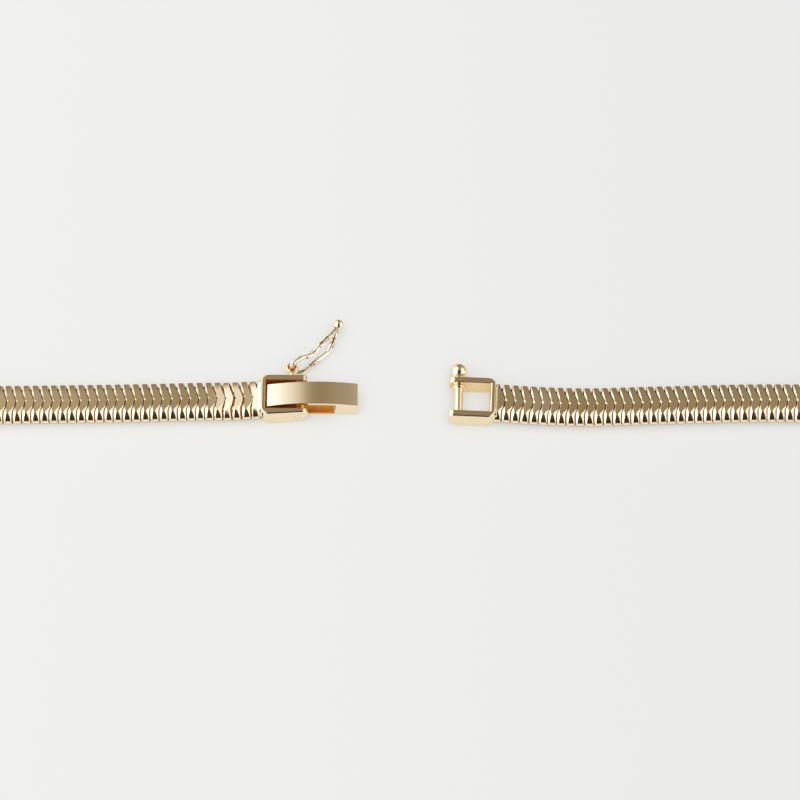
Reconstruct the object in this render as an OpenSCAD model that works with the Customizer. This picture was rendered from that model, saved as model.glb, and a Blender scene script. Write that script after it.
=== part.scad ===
/* [Chain] */
// Width of the flat chain
chain_w = 5; // [4:0.1:6]
// Thickness of the flat chain
chain_h = 2.1; // [1.8:0.1:2.3]

/* [Clasp frames] */
// Width over the two arms of a frame, at its closed end
frame_w = 5.6; // [5.4:0.1:6.4]
// Height of both frames
frame_h = 2.6; // [2.4:0.1:3]
// Thickness of an arm at the closed end
arm_t = 0.84; // [0.7:0.02:1]
// How much the near arm of the lever's frame thins towards its nose
arm_taper = 0.3; // [0:0.05:0.35]
// Corner radius of the closed end, seen from above
corner_r = 0.95; // [0.4:0.05:1.2]
// Thickness of the closed end
wall_t = 0.6; // [0.4:0.05:0.8]

/* [Lever] */
// Width of the lever
lever_w = 3.1; // [2.6:0.1:3.3]
// Thickness of the arched plate
plate_t = 0.5; // [0.4:0.05:0.55]
// Radius of the arch
arch_r = 24; // [20:1:30]
// Height of the arch's crown above the table
crown_z = 2.97; // [2.9:0.01:3.1]
// Diameter of the pivot pin
pin_d = 0.6; // [0.5:0.05:0.7]

/* [Hook bar] */
// Diameter of the bar that the hook takes hold of
bar_d = 1.2; // [0.9:0.1:1.2]
// Diameter of the ball on the end of the bar
ball_d = 2.2; // [1.8:0.1:2.3]

/* [Safety catch] */
// Diameter of the catch's wire
wire_d = 0.6; // [0.5:0.05:0.65]
// Diameter of the ball on the catch's tail
tail_ball_d = 1.4; // [1.2:0.1:1.5]

/* [Hidden] */

arc_fn = 64;
ball_fn = 48;

// Every length below is in millimetres. The clasp's own frame has X along the
// chain, Y from the far side of the loop to the clasp, Z up, and Z = 0 on the table.
axis_z = frame_h / 2;       // height of the pivot pin and of the hook bar
nose_x = 1.3;               // how far each arm reaches past the pin or bar
nose_top_r = 0.8;           // round nose of each arm, seen from the side
nose_low_r = 1.5;
arm_out = frame_w / 2;      // outer face of an arm, from the frame's middle
arm_in = arm_out - arm_t;   // inner face of an arm

// Places of the clasp's two halves
pivot_x = -12.7;            // pivot pin
clasp_y = 0.07;             // middle of the lever half
bar_x = 7.3;                // hook bar
bar_y = -0.21;              // middle of the catch half, at the bar
catch_turn = -2.8;          // catch half turned in plan, degrees
frame_back = 4.63;          // from the pin or bar to the outside of the closed end
collar_w = 4.7;             // at the chain
collar_h = 2;
collar_flare = 0.2;         // how much wider a collar is at its frame
collar_out = 0.45;          // how far a collar stands out of its frame
collar_top = 2.3;           // its height at the frame
collar_r = 1.1;             // round sides of a collar
collar_spare = 0.06;        // the round bar it is cut from is a little bigger
pin_gap = 0.02;             // round a fixed pin
run_gap = 0.04;             // round a turning pin

// Lever, measured from the pivot
tail_x = -3.85;             // free end of the tail
tip_x = 7.5;                // outer end of the hook block
hook_x = 4.5;               // inner face of the hook block, at its lower edge
undercut = 0.3;             // slant of that inner face
hook_z = 0.05;              // underside of the hook block, above the table
tip_chamfer = 0.3;
arch_x = 2.2;               // crown of the arch
barrel_r = 0.75;
web_w = 1;

// Tongue under the lever, measured from the pivot
tongue_t = 0.4;
tongue_w = 3;
tongue_x0 = -1.3;
tongue_x1 = 4.45;
bridge_x1 = -0.3;           // the tongue reaches the arms up to here

// Eyelet for the safety catch, measured from the lever half's middle
eyelet_x = -0.8;
eyelet_y = 4.16;
eyelet_r = 0.78;
eyelet_hole_r = 0.38;
eyelet_z0 = 1;
eyelet_z1 = 1.9;
eyelet_neck = 0.9;

// Safety catch: where the wire's middle runs, from the eyelet's axis.
// The upper strand goes from the hinge post to the tail, the lower one too.
post_z0 = 0.35;
post_z1 = 2.35;
upper_wire = [[0, 0, 2.35], [0.75, 0.7, 2.65], [1.4, 0.95, 2.6], [2.4, 1.6, 2.3],
              [3.3, 2.55, 2.45], [4.2, 3.45, 2.6], [4.75, 4.15, 2.35], [5.15, 4.85, 1.9],
              [5.4, 5.45, 1.55], [5.8, 6.15, 1.5]];
lower_wire = [[0, 0, 0.35], [0.7, 0.05, 0.35], [1.4, 0.2, 0.4], [2.5, 1.15, 0.75],
              [3.3, 1.85, 0.6], [4.2, 2.65, 0.35], [4.75, 3.3, 0.55], [5.2, 4.25, 1.1],
              [5.4, 5.45, 1.55]];

// Hook bar, measured from the bar's own frame
bar_sunk = 0.5;             // depth of the bar's blind hole in the near arm
ball_y = 4.07;              // ball's centre from the frame's middle

// Middle line of the chain from each collar round to the far side of the loop.
// The first point stands at the collar's height and the others lie on the table.
lie_z = chain_h / 2;
left_route = [[-17.85, 0.05], [-24, -0.1], [-34, -0.4], [-47, -0.6], [-60, -1], [-73.8, -3.7],
              [-85.5, -11.5], [-93.3, -23.2], [-96, -37], [-93.3, -50.7], [-85.5, -62.3],
              [-73.8, -70], [-60, -72.6], [-40, -73], [-20, -73], [0, -73]];
right_route = [[12.45, -0.47], [18, -0.8], [24, -0.95], [34, -0.65], [47, -0.4], [60, -1],
               [73.8, -3.7], [85.5, -11.5], [93.3, -23.2], [96, -37], [93.3, -50.7],
               [85.5, -62.3], [73.8, -70], [60, -72.6], [40, -73], [20, -73], [0, -73]];

// The model's origin lies on the table under the middle of its box
loop_low = -73 - chain_w / 2;
loop_high = clasp_y + eyelet_y + upper_wire[9][1] + tail_ball_d / 2;
origin_y = (loop_low + loop_high) / 2;

module placed() {
    translate([0, -origin_y, 0]) children();
}

module lever_half() {
    translate([pivot_x, clasp_y, 0]) children();
}

module catch_half() {
    translate([bar_x, bar_y, 0]) rotate([0, 0, catch_turn]) children();
}

// Turns a shape drawn in X and Z, of the given width, to stand along Y
module across(width) {
    rotate([90, 0, 0]) linear_extrude(width, center = true) children();
}

// Outline of a frame from above: closed, rounded end at the left, arms to the right
module frame_plan(near_taper) {
    back = -frame_back;
    polygon([[back + corner_r, -arm_out], [nose_x, near_taper - arm_out],
             [nose_x, arm_out], [back + corner_r, arm_out]]);
    translate([back, corner_r - arm_out]) square([2 * corner_r, frame_w - 2 * corner_r]);
    for (side = [-1, 1])
        translate([back + corner_r, side * (arm_out - corner_r)]) circle(corner_r, $fn = arc_fn);
}

// Side view of an arm, with its round nose
module frame_side() {
    low_x = nose_x - nose_low_r;
    top_x = nose_x - nose_top_r;
    top_z = frame_h - nose_top_r;
    polygon([[-frame_back, 0], [low_x, 0], [nose_x, nose_low_r], [nose_x, top_z],
             [top_x, frame_h], [-frame_back, frame_h]]);
    translate([low_x, nose_low_r]) circle(nose_low_r, $fn = arc_fn);
    translate([top_x, top_z]) circle(nose_top_r, $fn = arc_fn);
}

// U-shaped frame with the collar that takes the chain
module u_frame(near_taper) {
    difference() {
        intersection() {
            linear_extrude(frame_h) frame_plan(near_taper);
            across(frame_w + 1) frame_side();
        }
        translate([wall_t - frame_back, -arm_in, -1])
            cube([frame_back + nose_x, 2 * arm_in, frame_h + 2]);
    }
    collar();
}

// End view of a collar: a flat shape with round sides
module collar_end(width, height) {
    square([width, height - 2 * collar_r], center = true);
    square([width - 2 * collar_r, height], center = true);
    for (side = [-1, 1], level = [-1, 1])
        translate([side * (width / 2 - collar_r), level * (height / 2 - collar_r)])
            circle(collar_r, $fn = arc_fn);
}

// Outline that narrows from the frame's closed end to the chain
module collar_slope(at_chain, at_frame) {
    x0 = -frame_back - collar_out;
    x1 = wall_t / 2 - frame_back;
    polygon([[x0, -at_chain / 2], [x1, -at_frame / 2], [x1, at_frame / 2], [x0, at_chain / 2]]);
}

// The collar slopes down on all sides from the frame's closed end to the chain
module collar() {
    wide = collar_w + collar_flare;
    intersection() {
        translate([-frame_back - collar_out, 0, axis_z]) rotate([90, 0, 90])
            linear_extrude(collar_out + wall_t / 2) collar_end(wide + collar_spare, collar_top + collar_spare);
        linear_extrude(frame_h) collar_slope(collar_w, wide);
        translate([0, 0, axis_z]) across(frame_w) collar_slope(collar_h, collar_top);
    }
}

module tongue() {
    translate([tongue_x0, -tongue_w / 2, 0])
        cube([tongue_x1 - tongue_x0, tongue_w, tongue_t]);
    translate([tongue_x0, -arm_in - arm_t / 2, 0])
        cube([bridge_x1 - tongue_x0, 2 * arm_in + arm_t, tongue_t]);
}

module eyelet() {
    thick = eyelet_z1 - eyelet_z0;
    translate([eyelet_x, eyelet_y, eyelet_z0]) cylinder(thick, r = eyelet_r, $fn = arc_fn);
    translate([eyelet_x - eyelet_neck / 2, arm_out - arm_t / 2, eyelet_z0])
        cube([eyelet_neck, eyelet_y - arm_out, thick]);
}

module lever_frame() {
    color("palegoldenrod") placed() lever_half() difference() {
        union() {
            u_frame(arm_taper);
            tongue();
            eyelet();
        }
        translate([0, 0, axis_z]) rotate([90, 0, 0])
            cylinder(frame_w + 1, d = pin_d + 2 * pin_gap, center = true, $fn = arc_fn);
        translate([eyelet_x, eyelet_y, 0]) cylinder(frame_h, r = eyelet_hole_r, $fn = arc_fn);
    }
}

// The pin's near end is flush with the thinned arm
module pivot_pin() {
    shorter = arm_taper * (frame_back - corner_r) / (frame_back - corner_r + nose_x);
    color("khaki") placed() lever_half() translate([0, arm_out, axis_z]) rotate([90, 0, 0])
        cylinder(frame_w - shorter, d = pin_d, $fn = arc_fn);
}

// Side view of the lever: arched plate, barrel round the pin and hook block
module lever_side() {
    crown_low = crown_z - arch_r;
    difference() {
        translate([arch_x, crown_low]) circle(arch_r, $fn = 4 * arc_fn);
        translate([arch_x, crown_low]) circle(arch_r - plate_t, $fn = 4 * arc_fn);
        translate([-3 * arch_r + tail_x, -3 * arch_r]) square([3 * arch_r, 6 * arch_r]);
        translate([tip_x, -3 * arch_r]) square([3 * arch_r, 6 * arch_r]);
        translate([-arch_r, -3 * arch_r]) square([2 * arch_r, 3 * arch_r]);
    }
    intersection() {
        translate([arch_x, crown_low]) circle(arch_r - plate_t / 2, $fn = 4 * arc_fn);
        union() {
            translate([-web_w / 2, axis_z]) square([web_w, crown_z - axis_z]);
            polygon([[hook_x, hook_z], [tip_x - tip_chamfer, hook_z],
                     [tip_x, hook_z + 1.5 * tip_chamfer], [tip_x, crown_z],
                     [hook_x + undercut, crown_z]]);
        }
    }
    translate([0, axis_z]) circle(barrel_r, $fn = arc_fn);
}

module lever() {
    color("wheat") placed() lever_half() across(lever_w) difference() {
        lever_side();
        translate([0, axis_z]) circle(pin_d / 2 + run_gap, $fn = arc_fn);
    }
}

// Point and direction of a smooth line through points a, b, c, d, from b to c
function curve_at(a, b, c, d, t) =
    ((2 * b) + (c - a) * t + (2 * a - 5 * b + 4 * c - d) * t * t
     + (3 * b - a - 3 * c + d) * t * t * t) / 2;
function curve_dir(a, b, c, d, t) =
    ((c - a) + 2 * (2 * a - 5 * b + 4 * c - d) * t
     + 3 * (3 * b - a - 3 * c + d) * t * t) / 2;

// The same line with a point added beyond each end, so that it runs through them all
function stretched(p) =
    concat([2 * p[0] - p[1]], p, [2 * p[len(p) - 1] - p[len(p) - 2]]);

// Skin of a swept tube: one ring of points per place, closed at both ends
module skin(rings) {
    sides = len(rings[0]);
    last = (len(rings) - 1) * sides;
    polyhedron(
        points = [for (ring = rings) each ring],
        faces = concat(
            [[for (k = [0:sides - 1]) k]],
            [[for (k = [sides - 1:-1:0]) last + k]],
            [for (i = [0:len(rings) - 2], k = [0:sides - 1])
                let (a = i * sides + k, b = i * sides + (k + 1) % sides)
                [a, a + sides, b + sides, b]]),
        convexity = 6);
}

// Rings along a line: the section's first value goes sideways, its second one up
function swept_ring(p, dir, section) =
    let (across_dir = [-dir[1], dir[0], 0] / norm([dir[0], dir[1]]),
         up = cross(dir / norm(dir), across_dir))
    [for (s = section) p + s[0] * across_dir + s[1] * up];

function swept(p, section, steps) =
    let (q = stretched(p), n = len(p) - 1)
    [for (i = [0:n - 1], j = [0:(i == n - 1 ? steps : steps - 1)])
        let (t = j / steps)
        swept_ring(curve_at(q[i], q[i + 1], q[i + 2], q[i + 3], t),
                   curve_dir(q[i], q[i + 1], q[i + 2], q[i + 3], t), section)];

// Chain section: flat top and bottom with round sides
side_sides = 5;
chain_section = [for (side = [1, -1], k = [0:side_sides])
    let (turn = side * -90 + k * 180 / side_sides)
    [side * (chain_w - chain_h) / 2 + cos(turn) * chain_h / 2, sin(turn) * chain_h / 2]];

// The chain comes down from the collar to the table along its first stretch
function chain_point(route, i, t) =
    let (drop = i == 0 ? (axis_z - lie_z) * (1 - t * t * (3 - 2 * t)) : 0,
         q = stretched(route),
         p = curve_at(q[i], q[i + 1], q[i + 2], q[i + 3], t))
    [p[0], p[1], lie_z + drop];

function chain_rings(route, steps) =
    let (q = stretched(route), n = len(route) - 1)
    [for (i = [0:n - 1], j = [0:(i == n - 1 ? steps : steps - 1)])
        let (t = j / steps, d = curve_dir(q[i], q[i + 1], q[i + 2], q[i + 3], t))
        swept_ring(chain_point(route, i, t), [d[0], d[1], 0], chain_section)];

chain_steps = 2;

module chain_left() {
    color("gold") placed() skin(chain_rings(left_route, chain_steps));
}

module chain_right() {
    color("gold") placed() skin(chain_rings(right_route, chain_steps));
}

wire_sides = 10;
wire_section = [for (k = [0:wire_sides - 1])
    [cos(k * 360 / wire_sides), sin(k * 360 / wire_sides)] * wire_d / 2];
wire_steps = 2;

module safety_catch() {
    tail = upper_wire[len(upper_wire) - 1];
    color("gold") placed() lever_half() translate([eyelet_x, eyelet_y, 0]) {
        translate([0, 0, post_z0]) cylinder(post_z1 - post_z0, d = wire_d, $fn = arc_fn);
        skin(swept(upper_wire, wire_section, wire_steps));
        skin(swept(lower_wire, wire_section, wire_steps));
        translate(tail) sphere(d = tail_ball_d, $fn = ball_fn);
    }
}

module catch_frame() {
    color("palegoldenrod") placed() catch_half() difference() {
        mirror([1, 0, 0]) u_frame(0);
        translate([0, arm_out + 1, axis_z]) rotate([90, 0, 0])
            cylinder(frame_w - arm_t + bar_sunk + 1, d = bar_d + 2 * pin_gap, $fn = arc_fn);
    }
}

module ball_bar() {
    bar_y0 = -arm_in - bar_sunk + pin_gap;
    color("khaki") placed() catch_half() translate([0, 0, axis_z]) {
        translate([0, ball_y, 0]) rotate([90, 0, 0])
            cylinder(ball_y - bar_y0, d = bar_d, $fn = arc_fn);
        translate([0, ball_y, 0]) sphere(d = ball_d, $fn = ball_fn);
    }
}

chain_left();
chain_right();
lever_frame();
pivot_pin();
lever();
safety_catch();
catch_frame();
ball_bar();
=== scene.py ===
# %% [markdown]
# # Snake chain necklace with a fold-over clasp
# A snake chain is a row of thin, cupped plates threaded close together, so that they turn a
# little on each other and the chain bends like a ribbon. Here the necklace lies open on a
# pale table. Its two ends carry the clasp: a frame with an arched lever and a safety catch
# of bent wire, and a frame with the bar that the lever hooks on to.
# The imported CAD model is loaded first. It fixes every place and size, so each piece below is made
# in the same frame, and then the CAD part that it stands for is hidden.

# %% Load the frame
import math
from contextlib import contextmanager

import bmesh
import bpy
from mathutils import Matrix, Vector


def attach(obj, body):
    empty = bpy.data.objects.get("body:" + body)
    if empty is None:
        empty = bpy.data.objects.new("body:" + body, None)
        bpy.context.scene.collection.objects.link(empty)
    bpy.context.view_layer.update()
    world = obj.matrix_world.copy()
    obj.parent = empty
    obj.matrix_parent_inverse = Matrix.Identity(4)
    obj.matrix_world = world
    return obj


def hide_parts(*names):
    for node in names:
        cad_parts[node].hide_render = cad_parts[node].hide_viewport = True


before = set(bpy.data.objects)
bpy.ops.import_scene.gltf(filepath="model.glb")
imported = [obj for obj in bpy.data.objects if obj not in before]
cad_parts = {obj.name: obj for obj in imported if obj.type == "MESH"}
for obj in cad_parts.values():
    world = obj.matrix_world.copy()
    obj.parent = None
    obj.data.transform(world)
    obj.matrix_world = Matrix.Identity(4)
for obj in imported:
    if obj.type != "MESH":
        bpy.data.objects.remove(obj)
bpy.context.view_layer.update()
MM = 0.001

# %% [markdown]
# ## Camera and table
# A long lens from well above flattens the view as a catalogue photograph does. The table is
# one wide sheet of pale paper. It could be a curved backdrop, but the camera looks down
# steeply and never sees an edge, so a flat plane is enough. The paper gives some light of
# its own, like thin paper lit from below, and that keeps the shadows on it pale.

# %% Camera
LOOP_SHIFT = 32.21  # the clasp's own frame stands this far along Y, in millimetres
AIM_Y = 0.566               # place in that frame that the camera looks at
CAMERA_AWAY, CAMERA_UP = 0.4, math.radians(62)
LENS, SENSOR, NEAREST = 144, 36, 0.01

scene = bpy.context.scene
scene.view_settings.view_transform = "Standard"
lens = bpy.data.cameras.new("camera")
lens.lens, lens.sensor_width, lens.clip_start = LENS, SENSOR, NEAREST
camera = bpy.data.objects.new("camera", lens)
scene.collection.objects.link(camera)
camera.location = (Vector((0, (LOOP_SHIFT + AIM_Y) * MM, 0))
                   + CAMERA_AWAY * Vector((0, -math.cos(CAMERA_UP), math.sin(CAMERA_UP))))
camera.rotation_euler = (math.pi / 2 - CAMERA_UP, 0, 0)
scene.camera = camera
print("camera at", [round(v, 4) for v in camera.location])

# %% Small helpers for shader nodes
MIX_SOCKETS = {"FLOAT": (2, 3, 0), "RGBA": (6, 7, 2)}      # both inputs and the output of a Mix


def feed(tree, socket, value):
    """Links an output to the socket, or sets the socket to a value."""
    if isinstance(value, bpy.types.NodeSocket):
        tree.links.new(value, socket)
    else:
        socket.default_value = (*value, 1) if socket.type == "RGBA" else value


def add(tree, kind, **settings):
    """Adds a node, sets its properties, and feeds its inputs by name."""
    made = tree.nodes.new(kind)
    for name, value in settings.items():
        if name in made.bl_rna.properties:
            setattr(made, name, value)
        else:
            feed(tree, made.inputs[name.replace("_", " ")], value)
    return made


def maths(tree, operation, *values):
    """A Math node with an output or a number in each place."""
    made = add(tree, "ShaderNodeMath", operation=operation)
    for socket, value in zip(made.inputs, values):
        feed(tree, socket, value)
    return made.outputs[0]


def fade(tree, value, start, end, low=0.0, high=1.0, shape="SMOOTHSTEP"):
    """Goes from low to high while the value goes from start to end."""
    made = add(tree, "ShaderNodeMapRange", clamp=True, interpolation_type=shape, Value=value,
               From_Min=start, From_Max=end, To_Min=low, To_Max=high)
    return made.outputs["Result"]


def blend(tree, share, first, second, kind="RGBA"):
    """Mixes two colours, or two numbers if the kind is FLOAT."""
    made = add(tree, "ShaderNodeMix", data_type=kind)
    one, other, out = MIX_SOCKETS[kind]
    for place, value in ((0, share), (one, first), (other, second)):
        feed(tree, made.inputs[place], value)
    return made.outputs[out]


def scaled(tree, vector, scale):
    """A vector or colour times a number."""
    return add(tree, "ShaderNodeVectorMath", operation="SCALE", Vector=vector,
               Scale=scale).outputs[0]


def steps_ramp(tree, value, stops, interpolation="LINEAR"):
    """A Color Ramp over the given (place, grey or colour) stops."""
    made = add(tree, "ShaderNodeValToRGB", Fac=value)
    made.color_ramp.interpolation = interpolation
    points = made.color_ramp.elements
    while len(points) < len(stops):
        points.new(0.5)
    for point, (place, shade) in zip(points, stops):
        point.position = place
        point.color = (*shade, 1) if isinstance(shade, tuple) else (shade, shade, shade, 1)
    return made.outputs["Color"]


# %% Table
# The paper's tone is painted a little brighter at the left than at the right: painted light, as
# more of it falls on the left.
PAPER_LIT_LEFT, PAPER_DIM_RIGHT = (0.835, 0.835, 0.82), (0.79, 0.79, 0.785)
PAPER_TURN = 0.05                     # the tone changes this far to both sides, in metres
FROM_ABOVE, FROM_BELOW = 0.55, 0.475  # shares of the tone that it reflects and gives off
TABLE_HALF, TABLE_Z = 3, -0.00002

table_mat = bpy.data.materials.new("table_paper")
table_mat.use_nodes = True
tree = table_mat.node_tree
place = add(tree, "ShaderNodeTexCoord").outputs["Object"]
across = add(tree, "ShaderNodeSeparateXYZ", Vector=place).outputs["X"]
along = fade(tree, across, -PAPER_TURN, PAPER_TURN, shape="LINEAR")
sheet = steps_ramp(tree, along, [(0, PAPER_LIT_LEFT), (1, PAPER_DIM_RIGHT)])
grain = add(tree, "ShaderNodeTexNoise", Vector=place, Scale=900.0, Detail=3.0)
bump = add(tree, "ShaderNodeBump", Strength=0.03, Distance=0.0002, Height=grain.outputs["Fac"])
paper = tree.nodes["Principled BSDF"]
for name, value in (("Base Color", scaled(tree, sheet, FROM_ABOVE)), ("Emission Color", sheet),
                    ("Emission Strength", FROM_BELOW), ("Normal", bump.outputs["Normal"]),
                    ("Roughness", 0.9), ("Specular IOR Level", 0.1)):
    feed(tree, paper.inputs[name], value)

table_mesh = bpy.data.meshes.new("table")
table_mesh.from_pydata([(x * TABLE_HALF, y * TABLE_HALF, TABLE_Z)
                        for x, y in ((-1, -1), (1, -1), (1, 1), (-1, 1))], [], [(0, 1, 2, 3)])
table_mesh.materials.append(table_mat)
table = bpy.data.objects.new("table", table_mesh)
scene.collection.objects.link(table)
print("table", 2 * TABLE_HALF, "m wide")

# %% [markdown]
# ## Light
# Polished gold shows nothing but its surroundings, so the light is drawn as a room seen in
# the metal: bright panels at the left and the right, a dim wall behind, and a dark band in
# front and overhead where the camera stands. Area lamps could make it too, but one smooth
# map of the sky gives soft edges and little noise. Rays that don't come from a mirror
# surface see a white tent instead, brightest a little in front of overhead, so the table
# stays plain and most of each soft shadow falls where the piece itself hides it.

# %% Studio as seen in the metal
# Colour of the back wall and of the two panels, from left (-1) to right (1)
WALL = [(-1.0, (2.2, 2.3, 2.4)), (-0.43, (1.7, 1.75, 1.8)), (-0.325, (0.97, 1.03, 1.12)),
        (-0.27, (0.88, 0.90, 0.92)), (-0.215, (0.78, 0.745, 0.71)), (-0.16, (0.62, 0.575, 0.49)),
        (-0.124, (0.44, 0.38, 0.28)), (-0.10, (0.37, 0.315, 0.235)),
        (-0.062, (0.297, 0.245, 0.172)), (-0.01, (0.25, 0.194, 0.128)),
        (0.06, (0.275, 0.218, 0.142)), (0.126, (0.297, 0.246, 0.17)), (0.18, (0.323, 0.28, 0.209)),
        (0.29, (0.352, 0.297, 0.242)), (0.34, (0.38, 0.34, 0.28)), (0.41, (0.85, 0.83, 0.78)),
        (0.6, (1.2, 1.2, 1.2)), (1.0, (1.3, 1.3, 1.3))]
WALL_SCALE = 2.0  # the ramp holds the wall's colours divided by this
LOW_WIDTH = 0.38  # low down, sideways counts only this much, so the wall is wider
GROUND, DARK = (0.85, 0.875, 1.0), (0.03, 0.017, 0.008)

world = bpy.data.worlds.new("studio")
world.use_nodes = True
scene.world = world
tree = world.node_tree
tree.nodes.clear()
look = add(tree, "ShaderNodeTexCoord").outputs["Generated"]
side, back, high = add(tree, "ShaderNodeSeparateXYZ", Vector=look).outputs
in_front = maths(tree, "LESS_THAN", back, 0.0)
below = maths(tree, "LESS_THAN", high, 0.0)
stretch = maths(tree, "MAXIMUM", fade(tree, high, 0.2, 0.95, LOW_WIDTH, 1.0), in_front)
half_side = maths(tree, "MULTIPLY_ADD", maths(tree, "MULTIPLY", side, stretch), 0.5, 0.5)
wall = steps_ramp(tree, half_side,
                  [((x + 1) / 2, tuple(c / WALL_SCALE for c in shade)) for x, shade in WALL])

# The angle of the ray, from the back (0) overhead (0.5) to the front (1)
turn = maths(tree, "DIVIDE", maths(tree, "ARCTAN2", high, back), math.pi)
overhead = steps_ramp(tree, turn, [(0.0, 0.0), (0.48, 0.0), (0.54, 1.0), (1.0, 1.0)], "EASE")
low_front = maths(tree, "MULTIPLY", in_front, fade(tree, high, -0.80, -0.60))
band = maths(tree, "MAXIMUM", overhead, maths(tree, "MULTIPLY", low_front, below))
narrow = steps_ramp(tree, half_side, [(0.0, 0.0), (0.28, 0.0), (0.35, 1.0), (0.65, 1.0),
                                      (0.73, 0.0), (1.0, 0.0)], "EASE")
ground = maths(tree, "MULTIPLY", fade(tree, high, 0.0, -0.10),
               maths(tree, "MAXIMUM", fade(tree, high, -0.85, -1.0), in_front))
room = blend(tree, ground, scaled(tree, wall, WALL_SCALE), GROUND)
room = blend(tree, maths(tree, "MULTIPLY", band, narrow), room, DARK)
print("wall of", len(WALL), "colours")

# %% Tent for all other rays
LAMP_WAY, LAMP_FOCUS = (0, -0.2, 0.98), 3.0  # where the tent is brightest, how narrowly
LAMP_LIGHT, TENT_LIGHT = 1.78, 0.35          # light added there, and light all round

towards = add(tree, "ShaderNodeVectorMath", operation="DOT_PRODUCT", Vector=look)
towards.inputs[1].default_value = LAMP_WAY
lobe = maths(tree, "POWER", maths(tree, "MAXIMUM", towards.outputs["Value"], 0.0), LAMP_FOCUS)
tent = add(tree, "ShaderNodeBackground", Color=(1.0, 1.0, 1.0),
           Strength=maths(tree, "MULTIPLY_ADD", lobe, LAMP_LIGHT, TENT_LIGHT))
mirror = add(tree, "ShaderNodeBackground", Color=room)
path = add(tree, "ShaderNodeLightPath").outputs
first_sight = maths(tree, "MULTIPLY", path["Is Glossy Ray"],
                    maths(tree, "LESS_THAN", path["Diffuse Depth"], 0.5))
mix = add(tree, "ShaderNodeMixShader")
for socket, value in zip(mix.inputs, (first_sight, tent.outputs[0], mirror.outputs[0])):
    feed(tree, socket, value)
add(tree, "ShaderNodeOutputWorld", Surface=mix.outputs[0])
print("studio map made of", len(tree.nodes), "nodes")

# %% [markdown]
# ## Gold finishes
# The clasp is rolled and polished sheet, the chain is stamped plate, and the wire is drawn.
# All are the same pale gold with different marks: hairline scratches from polishing, broad gentle
# waves where a hand held the piece to the wheel, and a warmer tone in places the wheel didn't
# reach. The marks are one node group, placed in each finish with its own sizes, so that every gold
# on the necklace wears in the same way. The wire has deeper waves than the rest, because thin wire
# bent with pliers glints unevenly along its length, and on the wire the warm places are a dark
# brown: painted dark reflections.

# %% Marks shared by every gold
WARM_FINER = 2.3  # the warm places are this much smaller than the waves


def open_sockets(tree, in_out, *wanted):
    """Gives a node group its sockets, as (name, kind) or (name, kind, first value)."""
    for name, kind, *start in wanted:
        socket = tree.interface.new_socket(name, in_out=in_out, socket_type="NodeSocket" + kind)
        if start:
            socket.default_value = start[0]


marks = bpy.data.node_groups.new("polish_marks", "ShaderNodeTree")
open_sockets(marks, "INPUT", ("Wave size", "Float", 400.0), ("Wave share", "Float", 0.7),
             ("Hair size", "Float", 9000.0), ("Hair stretch", "Vector", (0.06, 1.0, 1.0)),
             ("Clean gold", "Color", (0.98, 0.84, 0.60, 1)),
             ("Warm gold", "Color", (0.9, 0.66, 0.36, 1)), ("Warm share", "Float", 0.12),
             ("Warm from", "Float", 0.45), ("Warm to", "Float", 0.75),
             ("Smooth", "Float", 0.07), ("Rough", "Float", 0.16))
open_sockets(marks, "OUTPUT", ("Color", "Color"), ("Roughness", "Float"), ("Height", "Float"))
given = marks.nodes.new("NodeGroupInput").outputs
result = marks.nodes.new("NodeGroupOutput").inputs
spot = add(marks, "ShaderNodeTexCoord").outputs["Object"]
drawn_out = add(marks, "ShaderNodeVectorMath", operation="MULTIPLY", Vector=spot)
feed(marks, drawn_out.inputs[1], given["Hair stretch"])
hair = add(marks, "ShaderNodeTexNoise", Vector=drawn_out.outputs[0], Scale=given["Hair size"],
           Detail=4.0, Roughness=0.6).outputs["Fac"]
wave = add(marks, "ShaderNodeTexNoise", Vector=spot, Scale=given["Wave size"],
           Detail=1.0).outputs["Fac"]
warm = add(marks, "ShaderNodeTexNoise", Vector=spot, Detail=3.0,
           Scale=maths(marks, "MULTIPLY", given["Wave size"], WARM_FINER)).outputs["Fac"]
warmth = maths(marks, "MULTIPLY", given["Warm share"],
               fade(marks, warm, given["Warm from"], given["Warm to"], shape="LINEAR"))
feed(marks, result["Color"], blend(marks, warmth, given["Clean gold"], given["Warm gold"]))
feed(marks, result["Roughness"], blend(marks, hair, given["Smooth"], given["Rough"], "FLOAT"))
feed(marks, result["Height"], blend(marks, given["Wave share"], hair, wave, "FLOAT"))
print("marks take", len(given) - 1, "sizes and colours")


# %% Finishes
def gold(name, bump_strength, bump_depth=0.00001, **inputs):
    """A gold finish: the shared marks feed one metallic surface."""
    made = bpy.data.materials.new(name)
    made.use_nodes = True
    tree = made.node_tree
    worn = add(tree, "ShaderNodeGroup", node_tree=marks, **inputs)
    relief = add(tree, "ShaderNodeBump", Strength=bump_strength, Distance=bump_depth,
                 Height=worn.outputs["Height"])
    metal = tree.nodes["Principled BSDF"]
    for socket, value in (("Metallic", 1.0), ("Base Color", worn.outputs["Color"]),
                          ("Roughness", worn.outputs["Roughness"]),
                          ("Normal", relief.outputs["Normal"])):
        feed(tree, metal.inputs[socket], value)
    return made


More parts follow.
